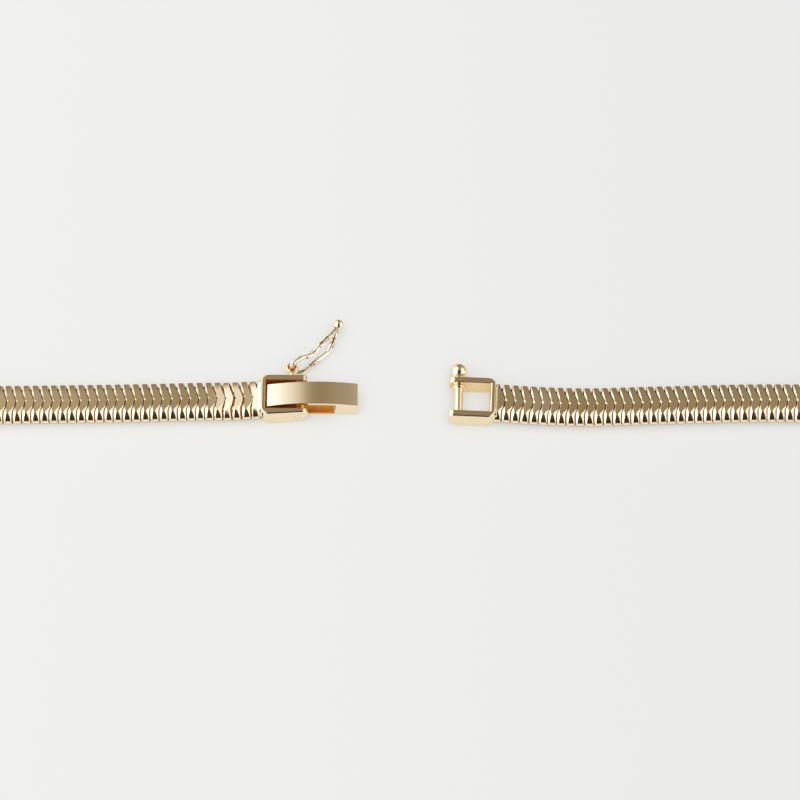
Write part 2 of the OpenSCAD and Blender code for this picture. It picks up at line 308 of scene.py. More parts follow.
clasp_gold = gold("clasp_gold", 0.25, Wave_size=700.0)
lever_gold = gold("lever_gold", 0.12, Wave_size=350.0, Hair_size=16000.0,
                  Hair_stretch=(0.05, 1.0, 1.0), Smooth=0.10, Rough=0.20, Warm_share=0.05)
# On the wire the warm places are dark brown: painted dark reflections along its length.
wire_gold = gold("wire_gold", 1.0, bump_depth=0.00025, Wave_size=600.0, Wave_share=1.0,
                 Clean_gold=(1.0, 0.92, 0.75), Warm_gold=(0.3, 0.12, 0.03), Warm_share=0.8,
                 Warm_from=0.53, Warm_to=0.6, Smooth=0.06, Rough=0.13)
link_gold = gold("link_gold", 0.20, Wave_size=500.0, Hair_size=12000.0, Warm_share=0.15,
                 Rough=0.15)
# The core's dull, deep gold is painted shade of the gaps between the plates.
core_shade_gold = gold("core_shade_gold", 0.5, Wave_size=1500.0, Hair_size=5000.0,
                 Clean_gold=(0.62, 0.25, 0.06), Warm_gold=(0.36, 0.12, 0.025), Warm_share=0.8,
                 Smooth=0.3, Rough=0.5)
# The tongue's orange gold is painted shade and painted reflection of gold in gold, deep under the
# lever.
tongue_shade_gold = gold("tongue_shade_gold", 0.3, Wave_size=900.0, Clean_gold=(0.93, 0.55, 0.17),
                   Warm_gold=(0.8, 0.36, 0.06), Warm_share=0.6, Smooth=0.15, Rough=0.3)
# The recess gold is painted shade and painted reflection of gold in gold, for the lever frame's
# window and the eyelet's hole.
recess_shade_gold = gold("recess_shade_gold", 0.4, Wave_size=900.0, Hair_size=7000.0,
                   Clean_gold=(0.92, 0.45, 0.12), Warm_gold=(0.75, 0.28, 0.04), Warm_share=0.5,
                   Smooth=0.38, Rough=0.5)
# The inner gold is a painted warm reflection of the gold round the catch frame's inner arm faces.
inner_reflection_gold = gold("inner_reflection_gold", 0.3, Wave_size=900.0, Clean_gold=(0.98, 0.76, 0.46),
                  Warm_gold=(0.92, 0.58, 0.22), Warm_share=0.5, Smooth=0.15, Rough=0.28)
print("gold finishes:", [m.name for m in bpy.data.materials if m.name.endswith("_gold")])

# %% [markdown]
# ## Tools for making solids
# Sheet metal parts are easiest as flat outlines given a thickness, cut with each other
# where they meet and then bevelled, as they are made in metal. They are drawn in
# millimetres in the clasp's own frame, where sizes are easy to read, and brought to metres
# in the model's frame at the very end, so that the finished mesh stands where the CAD does.

# %% Outlines and solids
def to_object(name, work):
    """Turns the work mesh into an object of the scene."""
    mesh = bpy.data.meshes.new(name)
    work.to_mesh(mesh)
    work.free()
    made = bpy.data.objects.new(name, mesh)
    scene.collection.objects.link(made)
    return made


def arc(cx, cy, radius, start, end, count):
    """Points of an arc, in degrees, both ends included."""
    turns = [math.radians(start + (end - start) * i / count) for i in range(count + 1)]
    return [(cx + radius * math.cos(a), cy + radius * math.sin(a)) for a in turns]


def circle(cx, cy, radius, count):
    """Points of a full circle."""
    return arc(cx, cy, radius, 0, 360 - 360 / count, count - 1)


def skin(work, rings, capped=True, smooth=False):
    """Closes the space between rings of points with faces, and both ends with caps."""
    faces = [work.faces.new(ring) for ring in (rings[0], rings[-1])] if capped else []
    for lower, upper in zip(rings, rings[1:]):
        for k in range(len(lower)):
            j = (k + 1) % len(lower)
            faces.append(work.faces.new([lower[k], lower[j], upper[j], upper[k]]))
            faces[-1].smooth = smooth
    bmesh.ops.recalc_face_normals(work, faces=faces)


def slab(name, outline, low, high, standing=False):
    """A closed solid: an outline in X and Y raised along Z, or one in X and Z along Y."""
    work = bmesh.new()
    skin(work, [[work.verts.new((a, level, b) if standing else (a, b, level)) for a, b in outline]
                for level in (low, high)])
    return to_object(name, work)


# %% Cuts, edges and shading
FLAT_ANGLE, DOUBLED = math.radians(0.5), 0.0005     # what counts as flat, and as one point
BEVEL_ANGLE, SHARP_ANGLE = math.radians(32), math.radians(38)   # rounded, and shown as edges
FACE_WEIGHT = 80  # how much a big face counts in the shading of the edges round it


def settled(piece, *helpers):
    """The piece with its modifiers applied, as a plain mesh. Helper solids are deleted."""
    seen = piece.evaluated_get(bpy.context.evaluated_depsgraph_get())
    plain = bpy.data.meshes.new_from_object(seen)
    piece.modifiers.clear()
    piece.data = plain
    for helper in helpers:
        bpy.data.objects.remove(helper)
    return piece


@contextmanager
def editing(piece):
    """Opens a piece's mesh for changes, and puts it back."""
    work = bmesh.new()
    work.from_mesh(piece.data)
    yield work
    work.to_mesh(piece.data)
    work.free()


def cut(piece, how, *others):
    """Joins, cuts or crosses a solid with others."""
    for other in others:
        step = piece.modifiers.new(how, "BOOLEAN")
        step.operation = how
        step.solver = "EXACT"
        step.object = other
    return settled(piece, *others)


def joined(piece, *others):
    """Puts other closed skins into the piece's mesh, where metal is soldered to metal."""
    with editing(piece) as work:
        for other in others:
            work.from_mesh(other.data)
    for other in others:
        bpy.data.objects.remove(other)
    return piece


def cleaned(piece):
    """Merges doubled points and melts the flat faces' spare edges, ready for a bevel."""
    with editing(piece) as work:
        bmesh.ops.remove_doubles(work, verts=work.verts, dist=DOUBLED)
        bmesh.ops.dissolve_limit(work, angle_limit=FLAT_ANGLE, verts=work.verts,
                                 edges=work.edges, delimit={"NORMAL"})
    return piece


def softened(piece, width, segments=3):
    """Rounds the sharp edges by one width, or by what width() gives for an edge's ends."""
    with editing(piece) as work:
        share = work.edges.layers.float.new("bevel_weight_edge")
        sharp = [edge for edge in work.edges
                 if len(edge.link_faces) == 2 and edge.calc_face_angle() > BEVEL_ANGLE]
        widths = [width([v.co for v in edge.verts]) if callable(width) else width
                  for edge in sharp]
        widest = max(widths)
        for edge, value in zip(sharp, widths):
            edge[share] = value / widest
    step = piece.modifiers.new("edges", "BEVEL")
    step.width = widest
    step.segments = segments
    step.limit_method = "WEIGHT"
    step.use_clamp_overlap = False
    return settled(piece)


def shaded(piece):
    """Smooth shading that stays flat on flat faces and breaks at sharp edges."""
    with editing(piece) as work:
        for face in work.faces:
            face.smooth = True
        for edge in work.edges:
            edge.smooth = len(edge.link_faces) != 2 or edge.calc_face_angle() < SHARP_ANGLE
    even = piece.modifiers.new("shading", "WEIGHTED_NORMAL")
    even.keep_sharp = True
    even.weight = FACE_WEIGHT
    return settled(piece)


# %% From the clasp's frame to the model
PIVOT_X, CLASP_Y = -12.7, 0.07
BAR_X, BAR_Y, CATCH_TURN = 7.3, -0.21, -2.8
lever_place = Matrix.Translation((PIVOT_X, CLASP_Y + LOOP_SHIFT, 0))
catch_place = (Matrix.Translation((BAR_X, BAR_Y + LOOP_SHIFT, 0))
               @ Matrix.Rotation(math.radians(CATCH_TURN), 4, "Z"))


def to_model(piece, half_place, body, slot, finish, *parts):
    """Brings a piece from millimetres in its own frame to its place in the model."""
    piece.data.transform(Matrix.Scale(MM, 4) @ half_place)
    piece.data.materials.clear()
    piece.data.materials.append(finish)
    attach(piece, body)
    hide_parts(*parts)
    low, high = [[round(end(v.co[i] for v in piece.data.vertices) / MM, 2) for i in range(3)]
                 for end in (min, max)]
    print(piece.name, len(piece.data.polygons), "faces, from", low, "to", high, "mm")


def lined(piece, faces, finish):
    """Gives some of a piece's faces a second finish."""
    piece.data.materials.append(finish)
    for index in faces:
        piece.data.polygons[index].material_index = 1
    print(piece.name, "has", len(faces), "faces of", finish.name)


# %% [markdown]
# ## The two frames
# Each half of the clasp is a little stirrup: a strip of gold bent into a U, with its arms'
# ends rounded in side view, and a short collar that takes the chain. It could be bent as a
# strip along a path, but both its top view and its side view are simple outlines, so it is
# cut from the two of them crossed, and the window is cut through. The outer edges are
# rounded more than the inner ones, as on a piece that rubs against skin and cloth.

# %% Sizes of a frame
FRAME_W, FRAME_H, ARM_T, WALL_T, CORNER_R = 5.6, 2.6, 0.84, 0.6, 1.0
FRAME_BACK, NOSE_X, NOSE_TOP_R, NOSE_LOW_R = 4.63, 1.3, 0.8, 1.5
AXIS_Z = FRAME_H / 2
ARM_OUT = FRAME_W / 2
ARM_IN = ARM_OUT - ARM_T
END_X = WALL_T - FRAME_BACK  # inner face of the closed end
PAST = 1                     # cutting solids reach this far past what they cut
INNER_EDGE, OUTER_EDGE, BORE_EDGE = 0.09, 0.22, 0.03
BORE_REACH, OUTER_BAND = 0.7, 0.2   # edges so near the axis are a bore's, so near outside outer
COLLAR_R, COLLAR_STEPS, CORNER_STEPS, NOSE_STEPS = 0.9, 8, 14, 18
# Sections of the collar: share of its length outside the frame, or distance inside it,
# then width and height
COLLAR = [(1.0, 4.5, 2.0), (0.8, 4.72, 2.22), (0.45, 4.84, 2.38), (0.05, 4.76, 2.5),
          (-0.1, 4.72, 2.56), (-0.28, 4.66, 2.56)]
# The knob at an arm's end: how far its corners are drawn in outside and inside, and where
# along it the arm is divided for that, and how far towards a point it goes
KNOB_OUT, KNOB_IN, KNOB_STEPS, KNOB_END = 0.45, 0.15, (0.0, 0.3, 0.55, 0.75, 0.9), 0.98
print("frame", FRAME_BACK + NOSE_X, "mm long, window", 2 * ARM_IN, "mm wide")


# %% Parts of a frame
def collar_piece(length):
    """The closed end's shoulder: rounded outlines that grow from the chain's to the frame's."""
    work = bmesh.new()
    rings = []
    for share, width, height in COLLAR:
        x = -FRAME_BACK - share * (length if share > 0 else 1)
        ring = []
        for cy, cz, start in ((1, 1, 0), (-1, 1, 90), (-1, -1, 180), (1, -1, 270)):
            ring += arc(cy * (width / 2 - COLLAR_R), cz * (height / 2 - COLLAR_R), COLLAR_R,
                        start, start + 90, COLLAR_STEPS)
        rings.append([work.verts.new((x, y, z + AXIS_Z)) for y, z in ring])
    skin(work, rings)
    return to_object("collar", work)


def wear(places):
    """Width of an edge of a frame: wider outside, where it rubs, than inside or at a bore."""
    if all(math.hypot(p.x, p.z - AXIS_Z) < BORE_REACH for p in places):
        return BORE_EDGE
    outside = (max(abs(p.y) for p in places) > ARM_IN + OUTER_BAND
               or max(p.x for p in places) < OUTER_BAND - FRAME_BACK)
    return OUTER_EDGE if outside else INNER_EDGE


def knobbed(piece):
    """Draws the corners of the arms' ends together, so that each arm ends in a round knob."""
    start = NOSE_X - KNOB_OUT
    with editing(piece) as work:
        for share in KNOB_STEPS:
            bmesh.ops.bisect_plane(work, geom=work.verts[:] + work.edges[:] + work.faces[:],
                                   plane_co=(start + KNOB_OUT * share, 0, 0), plane_no=(1, 0, 0))
        bmesh.ops.triangulate(work, faces=[f for f in work.faces if len(f.verts) > 4
                                           and f.calc_center_median().x > start])
        for vert in work.verts:
            along = min((vert.co.x - start) / KNOB_OUT, KNOB_END)
            if along > 0:
                turn = 1 - math.sqrt(1 - along ** 2)
                outward = min(max((abs(vert.co.y) - ARM_IN) / ARM_T, 0), 1)
                drawn_in = turn * (KNOB_OUT * outward - KNOB_IN * (1 - outward))
                vert.co.y -= math.copysign(drawn_in, vert.co.y)
    return piece


# %% Make a frame
def stirrup(name, near_taper, bore_r, bore_start, collar, ramp=0.0):
    """The bent strip with its window, bore and collar, closed end towards minus X.

    With a ramp, the closed end is that much thicker and its inner upper edge slopes."""
    back, nose = -FRAME_BACK, NOSE_X + PAST
    tapered = near_taper * (1 + PAST / (NOSE_X - back - CORNER_R)) - ARM_OUT
    plan = (arc(back + CORNER_R, ARM_OUT - CORNER_R, CORNER_R, 90, 180, CORNER_STEPS)
            + arc(back + CORNER_R, CORNER_R - ARM_OUT, CORNER_R, 180, 270, CORNER_STEPS)
            + [(nose, tapered), (nose, ARM_OUT)])
    profile = (arc(NOSE_X - NOSE_LOW_R, NOSE_LOW_R, NOSE_LOW_R, -90, 0, NOSE_STEPS)
               + arc(NOSE_X - NOSE_TOP_R, FRAME_H - NOSE_TOP_R, NOSE_TOP_R, 0, 90, CORNER_STEPS)
               + [(back - PAST, FRAME_H), (back - PAST, 0)])
    body = slab(name, plan, -PAST, FRAME_H + PAST)
    side = slab("side_view", profile, -ARM_OUT - PAST, ARM_OUT + PAST, standing=True)
    inside = END_X + ramp
    window = slab("window", [(inside, -ARM_IN), (nose + PAST, -ARM_IN), (nose + PAST, ARM_IN),
                             (inside, ARM_IN)], -PAST, FRAME_H + PAST)
    bore = slab("bore", circle(0, AXIS_Z, bore_r, 36), bore_start, ARM_OUT + PAST, standing=True)
    cut(body, "INTERSECT", side)
    cut(body, "DIFFERENCE", window, bore)
    if ramp:
        deep = 1.4 * ramp
        slope = slab("slope", [(inside - deep, FRAME_H + 0.1), (inside + 0.1, FRAME_H - deep - 0.1),
                               (inside + 0.1, FRAME_H + 0.1)], -ARM_IN, ARM_IN, standing=True)
        cut(body, "DIFFERENCE", slope)
    softened(cleaned(body), wear, segments=4)
    return joined(knobbed(body), collar_piece(collar))


def inner_faces(piece, way):
    """Faces inside the window of a frame whose closed end points against way along X."""
    found = []
    for face in piece.data.polygons:
        x, y = face.center.x * way, face.center.y
        out_x, out_y, out_z = face.normal
        # An arm's faces stand upright and look to the middle, and the end's look to the nose
        arm = (END_X - 0.03 < x < NOSE_X - 0.1 and abs(out_z) < 0.3 and out_y * y <= 0
               and abs(out_x) + abs(out_y) > 0.9)
        end = END_X - 0.12 < x < END_X + 0.4 and way * out_x > 0.5 and out_z > -0.3
        if abs(y) < ARM_IN + 0.03 and (arm or end):
            found.append(face.index)
    return found


PIN_D, BAR_D, PIN_GAP, BAR_SUNK = 0.6, 1.2, 0.02, 0.5
lever_stirrup = stirrup("lever_half_frame", 0.3, PIN_D / 2 + PIN_GAP, -ARM_OUT - PAST, 0.45)
catch_stirrup = stirrup("bar_half_frame", 0.0, BAR_D / 2 + PIN_GAP, -ARM_IN - BAR_SUNK, 0.22,
                        ramp=0.2)
print("stirrups:", len(lever_stirrup.data.polygons), len(catch_stirrup.data.polygons), "faces")

# %% [markdown]
# ## Eyelet, tongue and pivot
# A small thick ring soldered to the far arm holds the safety catch. It could be a torus, but the
# real one is a cut from tube with worn edges, so it is a short tube with a wide bevel. Under the
# lever lies a flat tongue that the hook closes against, carried on to the closed end by a thin
# sheet that covers the table in the shade beside the lever's tail. Both sit deep in the frame, and
# their warmer, duller gold is painted shade and painted reflection of gold in gold, as is the gold
# of the frames' inner faces and of the eyelet's hole.

# %% Lever frame with its eyelet
EYELET_X, EYELET_Y, EYELET_R, EYELET_HOLE = -0.8, 4.16, 0.78, 0.38
EYELET_LOW, EYELET_HIGH, NECK_R = 1.0, 1.9, 0.33
RING_SIDES, RING_STEPS = 40, 20
ROUNDNESS = 0.8  # of the ring's section: 1 is an ellipse, and less is squarer


def lathe(name, profile, sides, upright=False):
    """A turned solid from (radius, place) points along Y, or along Z if upright."""
    work = bmesh.new()
    skin(work, [[work.verts.new((a, b, where) if upright else (a, where, b))
                 for a, b in circle(0, 0, radius, sides)] for radius, where in profile],
         capped=profile[0] != profile[-1], smooth=True)
    bmesh.ops.remove_doubles(work, verts=work.verts, dist=0.0001)
    bmesh.ops.recalc_face_normals(work, faces=work.faces)
    return to_object(name, work)


def squarish(value):
    """A sine or cosine made squarer."""
    return math.copysign(abs(value) ** ROUNDNESS, value)


ring_mid, ring_half = (EYELET_R + EYELET_HOLE) / 2, (EYELET_R - EYELET_HOLE) / 2
ring_high = (EYELET_HIGH - EYELET_LOW) / 2
section = [(ring_mid + ring_half * squarish(a), ring_high * squarish(b))
           for a, b in circle(0, 0, 1, RING_STEPS)]
ring = lathe("ring", section + section[:1], RING_SIDES, upright=True)
ring.data.transform(Matrix.Translation((EYELET_X, EYELET_Y, EYELET_LOW + ring_high)))
neck = slab("neck", circle(EYELET_X, EYELET_LOW + ring_high, NECK_R, 24), ARM_OUT - 0.3,
            EYELET_Y - EYELET_HOLE - 0.1, standing=True)
shaded(joined(lever_stirrup, neck, ring))
# The window's inner faces and the eyelet's hole take the recess gold: painted shade and painted
# reflection of gold in gold.
inner = inner_faces(lever_stirrup, 1)
inner += [face.index for face in lever_stirrup.data.polygons
          if math.dist(face.center[:2], (EYELET_X, EYELET_Y)) < ring_mid]
to_model(lever_stirrup, lever_place, "necklace", "clasp_gold", clasp_gold, "lever_frame")
lined(lever_stirrup, inner, recess_shade_gold)

# %% Tongue and pivot pin
TONGUE_X1, TONGUE_Y, TONGUE_T = 4.47, 1.5, 0.4
BRIDGE_X0, BRIDGE_X1, BRIDGE_Y = -1.3, -0.3, ARM_IN + 0.02
SHEET_X0, SHEET_X1, SHEET_LOW, SHEET_HIGH = END_X - 0.02, BRIDGE_X0 + 0.1, 0.02, 0.06
PIN_NEAR, PIN_FAR = 0.23 - ARM_OUT, ARM_OUT - 0.01

half = [(TONGUE_X1, TONGUE_Y), (BRIDGE_X1, TONGUE_Y), (BRIDGE_X1, BRIDGE_Y), (BRIDGE_X0, BRIDGE_Y)]
tongue = slab("tongue", [(x, -y) for x, y in half[::-1]] + half, 0, TONGUE_T)
half = [(SHEET_X1, BRIDGE_Y), (SHEET_X0, BRIDGE_Y)]
thin_sheet = slab("thin_sheet", [(x, -y) for x, y in half[::-1]] + half, SHEET_LOW, SHEET_HIGH)
shaded(joined(softened(tongue, 0.03), thin_sheet))
to_model(tongue, lever_place, "necklace", "clasp_gold", tongue_shade_gold, "lever_frame")

# Radius and place along the pin, with both ends a little rounded
pin = lathe("pivot", [(PIN_D / 2 - 0.06, PIN_NEAR - 0.02), (PIN_D / 2 - 0.02, PIN_NEAR),
                      (PIN_D / 2, PIN_NEAR + 0.05), (PIN_D / 2, PIN_FAR - 0.05),
                      (PIN_D / 2 - 0.02, PIN_FAR - 0.01), (PIN_D / 2 - 0.06, PIN_FAR)], 32)
pin.data.transform(Matrix.Translation((0, 0, AXIS_Z)))
to_model(pin, lever_place, "necklace", "clasp_gold", clasp_gold, "pivot_pin")

# %% [markdown]
# ## Lever
# The lever is an arched plate with a barrel round the pivot and a block at its free end
# that hooks under the bar. Seen from the side it is one outline, so one outline raised to
# the lever's width makes it, with the arch drawn in fine steps: a bent mirror shows every
# flat. The alternative, a bent box, would need the block and the barrel joined on.

# %% Lever
LEVER_W, PLATE_T, ARCH_R, ARCH_X, CROWN_Z = 3.1, 0.5, 24.0, 2.2, 2.97
TAIL_X, TIP_X, HOOK_X, UNDERCUT, HOOK_Z, CHAMFER = -3.85, 7.5, 4.5, 0.3, 0.05, 0.3
BARREL_R, WEB_W, RUN_GAP, LEVER_EDGE = 0.75, 1.0, 0.04, 0.07


def arch_line(x0, x1, radius, count):
    """Points of the arch from one place along the lever to another."""
    return [(x, CROWN_Z - ARCH_R + math.sqrt(radius ** 2 - (x - ARCH_X) ** 2))
            for x in [x0 + (x1 - x0) * i / count for i in range(count + 1)]]


under = ARCH_R - PLATE_T
web_angle = math.degrees(math.acos(WEB_W / 2 / BARREL_R))
hook_top = HOOK_X + UNDERCUT * 0.78     # the inner face meets the arch at this share of its slant
outline = (arch_line(TAIL_X, -WEB_W / 2, under, 14)
           + arc(0, AXIS_Z, BARREL_R, 180 - web_angle, 360 + web_angle, 30)
           + arch_line(WEB_W / 2, hook_top, under, 16)
           + [(HOOK_X, HOOK_Z), (TIP_X - CHAMFER, HOOK_Z), (TIP_X, HOOK_Z + 1.5 * CHAMFER)]
           + arch_line(TIP_X, TAIL_X, ARCH_R, 60))
lever = slab("arched_lever", outline, -LEVER_W / 2, LEVER_W / 2, standing=True)
hole = slab("hole", circle(0, AXIS_Z, PIN_D / 2 + RUN_GAP, 24), -LEVER_W, LEVER_W, standing=True)
cut(lever, "DIFFERENCE", hole)
shaded(softened(lever, LEVER_EDGE))
to_model(lever, lever_place, "lever", "lever_gold", lever_gold, "lever")

# %% [markdown]
# ## Safety catch
# One length of round wire makes the catch: it comes up through the eyelet, opens into a
# narrow loop that snaps over the ball of the bar, and both ends are melted into one small
# ball, which takes the clasp's polish. Wire bent with pliers has straight stretches between
# short bends, so it is swept along such a line: on a smoothly curved one the light would
# run without a break.

# %% Sweeping a section along a line
def sweep(work, line, section, up=None):
    """Sweeps a closed section along a line into a closed skin. With up, it stays level."""
    rings = []
    side_way = None
    for i, place in enumerate(line):
        ahead = (line[min(i + 1, len(line) - 1)] - line[max(i - 1, 0)]).normalized()
        if up is not None:
            side_way = up.cross(ahead).normalized()
        elif side_way is None:
            side_way = ahead.orthogonal().normalized()
        else:
            side_way = (side_way - ahead * side_way.dot(ahead)).normalized()
        top_way = ahead.cross(side_way)
        rings.append([work.verts.new(place + side_way * s + top_way * t) for s, t in section])
    skin(work, rings, smooth=True)


def bent_line(points, bend, steps):
    """Straight stretches joined by short bends, which take under half of each stretch."""
    points = [Vector(p) for p in points]
    line = [points[0]]
    for before, corner, after in zip(points, points[1:], points[2:]):
        back_way, on_way = before - corner, after - corner
        reach = min(bend, back_way.length * 0.45, on_way.length * 0.45)
        start, end = corner + back_way.normalized() * reach, corner + on_way.normalized() * reach
        for t in [k / steps for k in range(steps + 1)]:
            line.append(start * (1 - t) ** 2 + corner * 2 * t * (1 - t) + end * t * t)
    return line + [points[-1]]


# %% Safety catch
WIRE_D, WIRE_SIDES, TAIL_BALL_D, BALL_SIDES, BEND, BEND_STEPS = 0.6, 16, 1.4, 32, 0.4, 6
# Bends of the wire from the eyelet's axis: the lower strand to the post, and the upper one
LOWER = [(5.42, 5.45, 1.55), (5.3, 4.75, 1.25), (4.55, 2.98, 0.36), (2.75, 1.3, 0.7),
         (1.36, 0.08, 0.38), (0, 0, 0.36)]
UPPER = [(0, 0, 2.58), (1.04, 0.87, 2.62), (2.3, 1.45, 2.2), (3.6, 2.8, 2.62),
         (4.9, 4.55, 2.05), (5.4, 5.5, 1.6), (5.77, 6.28, 1.5)]

work = bmesh.new()
sweep(work, bent_line(LOWER + UPPER, BEND, BEND_STEPS), circle(0, 0, WIRE_D / 2, WIRE_SIDES))
ball = bmesh.ops.create_uvsphere(work, u_segments=BALL_SIDES, v_segments=BALL_SIDES // 2,
                                 radius=TAIL_BALL_D / 2, matrix=Matrix.Translation(UPPER[-1]))
for face in {f for v in ball["verts"] for f in v.link_faces}:
    face.smooth = True
catch = to_object("bent_wire_catch", work)
tail_ball = [face.index for face in catch.data.polygons
             if (face.center - Vector(UPPER[-1])).length < TAIL_BALL_D / 2 + 0.01]
to_model(catch, lever_place @ Matrix.Translation((EYELET_X, EYELET_Y, 0)), "safety_catch",
         "wire_gold", wire_gold, "safety_catch")
lined(catch, tail_ball, clasp_gold)

# %% [markdown]
# ## The bar's half
# The bar crosses the window of the second frame, runs through its far arm and ends outside
# in a ball for the catch to snap over. It is turned work, so a profile spun round its axis
# makes it, with a low boss against the far arm and a small hollow where the ball begins.

# %% Frame and bar
BALL_D, BALL_Y, BOSS_R, BOSS_Y, BAR_SIDES = 2.2, 4.07, 0.82, 1.58, 48
BAR_ASKEW = 1.5  # the bar is turned by so many degrees in its frame

catch_stirrup.data.transform(Matrix.Scale(-1, 4, (1, 0, 0)))
catch_stirrup.data.flip_normals()
shaded(catch_stirrup)
# The catch frame's inner arm faces take a warmer gold: a painted reflection of the gold round them.
inner = inner_faces(catch_stirrup, -1)
to_model(catch_stirrup, catch_place, "necklace", "clasp_gold", clasp_gold, "catch_frame")
lined(catch_stirrup, [index for index in inner      # only along the arms, as a painted warm reflection; the end keeps the clasp's gold
                      if abs(catch_stirrup.data.polygons[index].normal.y) > 0.5], inner_reflection_gold)

ball_r, bar_r, bar_end = BALL_D / 2, BAR_D / 2, -ARM_IN - BAR_SUNK
join_angle = math.degrees(math.asin((bar_r + 0.05) / ball_r))
neck_y = BALL_Y - ball_r * math.cos(math.radians(join_angle))
# Radius and place along the rounded near end and the shaft, the boss, the neck and the ball
profile = ([(bar_r - 0.05, bar_end + 0.02), (bar_r, bar_end + 0.07)]
           + [(bar_r, y / 10) for y in range(-18, 16, 3)]
           + [(bar_r, BOSS_Y), (BOSS_R - 0.08, BOSS_Y + 0.01), (BOSS_R, BOSS_Y + 0.08),
              (BOSS_R, ARM_IN + 0.02), (bar_r, ARM_IN + 0.04), (bar_r, ARM_OUT - 0.1),
              (bar_r, neck_y - 0.16), (bar_r + 0.01, neck_y - 0.07)]
           + arc(0, BALL_Y, ball_r, join_angle - 90, 88, 24))
bar = lathe("ball_and_bar", profile, BAR_SIDES)
bar.data.transform(Matrix.Translation((0, 0, AXIS_Z))
                   @ Matrix.Rotation(math.radians(BAR_ASKEW), 4, "Z"))
to_model(bar, catch_place, "necklace", "clasp_gold", clasp_gold, "ball_bar")

# %% [markdown]
# ## The chain's line
# Each end of the chain leaves its collar at about half the clasp's height, comes down to the
# table along its first stretch, and then runs round in a wide open curve, so that the whole
# length lies flat. The line keeps within a fraction of a millimetre of the CAD's, because
# the plates have to cover the plain bands that stand for them there. The first plates sit
# loosely, each tipped its own way, so a second table says how much a plate tips where.

# %% Lines of the two halves
LIE_Z, START_Z, DOWN_LENGTH, LINE_STEPS = 1.05, 1.15, 4.5, 16
FAR_SIDE = [(60, -1), (73.8, -3.7), (85.5, -11.5), (93.3, -23.2), (96, -37), (93.3, -50.7),
            (85.5, -62.3), (73.8, -70), (60, -72.6), (40, -73), (20, -73), (0, -73)]
LEFT_ROUTE = [(-17.7, -0.08), (-20, -0.22), (-24, -0.27), (-34, -0.52),
              (-47, -0.72)] + [(-x, y) for x, y in FAR_SIDE]
RIGHT_ROUTE = [(12.45, -0.57), (18, -0.92), (24, -1.06), (34, -0.76), (47, -0.5)] + FAR_SIDE


def smooth_line(points, steps):
    """A smooth line through the points, with the given steps between each two of them."""
    ends = [2 * Vector(points[0]) - Vector(points[1])] + [Vector(p) for p in points]
    ends.append(2 * ends[-1] - ends[-2])
    line = []
    for a, b, c, d in zip(ends, ends[1:], ends[2:], ends[3:]):
        for t in [k / steps for k in range(steps)]:
            line.append((2 * b + (c - a) * t + (2 * a - 5 * b + 4 * c - d) * t * t
                         + (3 * b - a - 3 * c + d) * t ** 3) / 2)
    return line + [ends[-2]]


def chain_line(name, route):
    """The middle line of one half, in millimetres, down from the collar to the table."""
    line = smooth_line([(x, y + LOOP_SHIFT, 0) for x, y in route], LINE_STEPS)
    for place in line:
        t = min(abs(place.x - route[0][0]) / DOWN_LENGTH, 1)
        place.z = LIE_Z + (START_Z - LIE_Z) * (1 - t * t * (3 - 2 * t))
    length = sum((b - a).length for a, b in zip(line, line[1:]))
    print(name, "half is", round(length, 1), "mm long")
    return line


left_line, right_line = chain_line("left", LEFT_ROUTE), chain_line("right", RIGHT_ROUTE)

# %% [markdown]
# ## One plate of the chain
# Every plate is a cup of thin sheet bent round the chain: flat on top and below, rolled at
# both sides, and bowed so that its middle reaches over the next plate. It is drawn as
# stations round the chain's oval, each with its own left and right edge and its own amount
# of rounding: nearly none on the flat, a wide slope at the near side, which catches the
# light. On the far side the flank begins at a hard rim. The plate is repeated hundreds of
# times, so it has only a few dozen faces, with a station just where something changes.

# %% Plate
RIM_Z = 0.70  # height of the hard rim on the far side
# Stations round the plate: place across and height above the middle, left and right edge,
# how wide the sloping faces at the left and right edge are, and how deep the core lies
TOP = (0.0, 1.05, -0.56, 0.55, 0.26, 0.02, 0.24)
NEAR = [(0.24, 1.05, -0.475, 0.54, 0.03, 0.02, 0.24), (0.6, 1.05, -0.50, 0.46, 0.04, 0.03, 0.24),
        (1.05, 1.05, -0.67, 0.31, 0.12, 0.10, 0.24), (1.3, 1.04, -0.79, 0.18, 0.25, 0.26, 0.22),
        (1.62, 1.0, -0.80, 0.15, 0.33, 0.39, 0.20), (1.94, 0.875, -0.81, 0.14, 0.27, 0.24, 0.18),
        (2.2, 0.69, -0.81, 0.14, 0.20, 0.13, 0.17), (2.45, 0.47, -0.81, 0.135, 0.19, 0.09, 0.17),
        (2.6, 0.18, -0.81, 0.13, 0.22, 0.08, 0.18), (2.3, -0.76, -0.80, 0.16, 0.16, 0.12, 0.25)]
FAR = [(0.24, 1.05, -0.54, 0.50, 0.03, 0.02, 0.24), (0.5, 1.05, -0.58, 0.41, 0.07, 0.03, 0.24),
       (0.9, 1.05, -0.72, 0.27, 0.15, 0.03, 0.24), (1.28, 1.04, -0.84, 0.12, 0.19, 0.04, 0.25),
       (1.9, 0.94, -0.90, -0.04, 0.15, 0.05, 0.50), (2.35, RIM_Z, -0.92, -0.12, 0.13, 0.06, 0.60),
       (2.49, 0.34, -0.92, -0.10, 0.15, 0.10, 0.60), (2.02, -0.83, -0.84, 0.12, 0.15, 0.12, 0.35)]
BOTTOM = (0.0, -1.05, -0.53, 0.50, 0.10, 0.10, 0.25)
# Fall of the sloping faces to the left and right, and depth of the edge beyond them
SLOPE_LEFT, SLOPE_RIGHT, EDGE_DEEP = 0.42, 0.40, 0.03


